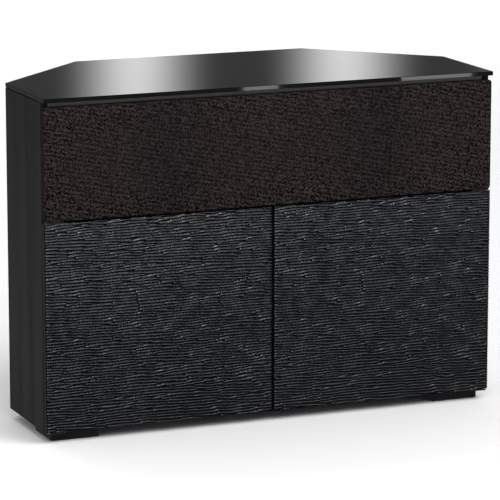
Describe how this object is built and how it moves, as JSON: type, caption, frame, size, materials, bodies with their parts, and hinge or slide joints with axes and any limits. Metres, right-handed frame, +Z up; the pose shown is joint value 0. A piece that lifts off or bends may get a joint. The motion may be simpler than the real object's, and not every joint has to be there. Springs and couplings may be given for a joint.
{
  "type": "corner media cabinet",
  "caption": "Six-sided corner cabinet with a black glass top, a pull-off cloth speaker grille and two carved swing doors with touch latches over shelved component bays.",
  "frame": {"origin": "on the floor, under the centre of the overall box", "axes": "+X along the front to the right seen from the front, +Y back into the room corner, +Z up; the front faces -Y"},
  "size_m": [1.118, 0.531, 0.796],
  "materials": {
    "top_glass": "back-painted black float glass, polished",
    "clear_bumper": "soft clear polyurethane",
    "side_laminate": "satin charcoal laminate, faint vertical grain",
    "inner_laminate": "matt black laminate",
    "rail_metal": "satin charcoal anodised",
    "carved_front": "black stained, carved horizontal ripples, semi-gloss",
    "door_core": "matt black board",
    "grille_board": "black painted fibreboard",
    "speaker_cloth": "black-brown woven speaker cloth",
    "foot_plastic": "black moulded block",
    "foot_felt": "anti-slip pad",
    "black_plastic": "moulded, fine texture",
    "nylon": "natural nylon",
    "plated_steel": "zinc plated",
    "black_steel": "black powder coat"
  },
  "bodies": {
    "cabinet": {"bottom_panel": "inner_laminate", "cam_bolts": "plated_steel", "cam_locks": "plated_steel", "centre_cable_grommet": "black_plastic", "centre_divider": "inner_laminate", "centre_foot": "foot_plastic", "centre_rear_panel": "side_laminate", "divider_screws": "plated_steel", "foot_pads": "foot_felt", "foot_screws": "plated_steel", "front_left_foot": "foot_plastic", "front_right_foot": "foot_plastic", "glass_bumpers": "clear_bumper", "glass_top": "top_glass", "grille_sockets": "black_plastic", "latch_screws": "plated_steel", "left_cable_grommet": "black_plastic", "left_latch_housing": "black_plastic", "left_latch_spring": "plated_steel", "left_rear_panel": "side_laminate", "left_shelf": "inner_laminate", "left_shelf_pins": "plated_steel", "left_side_panel": "side_laminate", "lower_pivot_plates": "black_steel", "pivot_pins": "plated_steel", "pivot_plate_screws": "plated_steel", "rear_left_foot": "foot_plastic", "rear_panel_screws": "plated_steel", "rear_right_foot": "foot_plastic", "right_cable_grommet": "black_plastic", "right_latch_housing": "black_plastic", "right_latch_spring": "plated_steel", "right_rear_panel": "side_laminate", "right_shelf": "inner_laminate", "right_shelf_pins": "plated_steel", "right_side_panel": "side_laminate", "speaker_shelf": "inner_laminate", "top_front_rail": "rail_metal", "top_panel": "inner_laminate", "upper_pivot_plates": "black_steel"},
    "left_door": {"left_door_core": "door_core", "left_door_front": "carved_front", "left_door_bushings": "nylon", "left_strike_plate": "plated_steel"},
    "right_door": {"right_door_core": "door_core", "right_door_front": "carved_front", "right_door_bushings": "nylon", "right_strike_plate": "plated_steel"},
    "grille": {"grille_frame": "grille_board", "grille_cloth": "speaker_cloth", "cloth_turnover": "speaker_cloth", "grille_studs": "plated_steel"},
    "left_latch": {"left_latch_plunger": "black_plastic", "left_latch_magnet": "plated_steel"},
    "right_latch": {"right_latch_plunger": "black_plastic", "right_latch_magnet": "plated_steel"}
  },
  "joints": [
    {"name": "left_door_hinge", "type": "hinge", "parent": "cabinet", "child": "left_door", "pos_m": [-0.552, -0.2535, 0.268], "axis": [0, 0, -1], "range_deg": [0, 105]},
    {"name": "right_door_hinge", "type": "hinge", "parent": "cabinet", "child": "right_door", "pos_m": [0.552, -0.2535, 0.268], "axis": [0, 0, 1], "range_deg": [0, 105]},
    {"name": "left_latch_press", "type": "slide", "parent": "cabinet", "child": "left_latch", "axis": [0, 1, 0], "range_m": [0, 0.002], "stiffness_N_per_m": 1500, "springref_m": -0.002, "deforming": ["left_latch_spring"]},
    {"name": "right_latch_press", "type": "slide", "parent": "cabinet", "child": "right_latch", "axis": [0, 1, 0], "range_m": [0, 0.002], "stiffness_N_per_m": 1500, "springref_m": -0.002, "deforming": ["right_latch_spring"]},
    {"name": "grille_pull", "type": "slide", "parent": "cabinet", "child": "grille", "axis": [0, -1, 0], "range_m": [0, 0.15]}
  ]
}
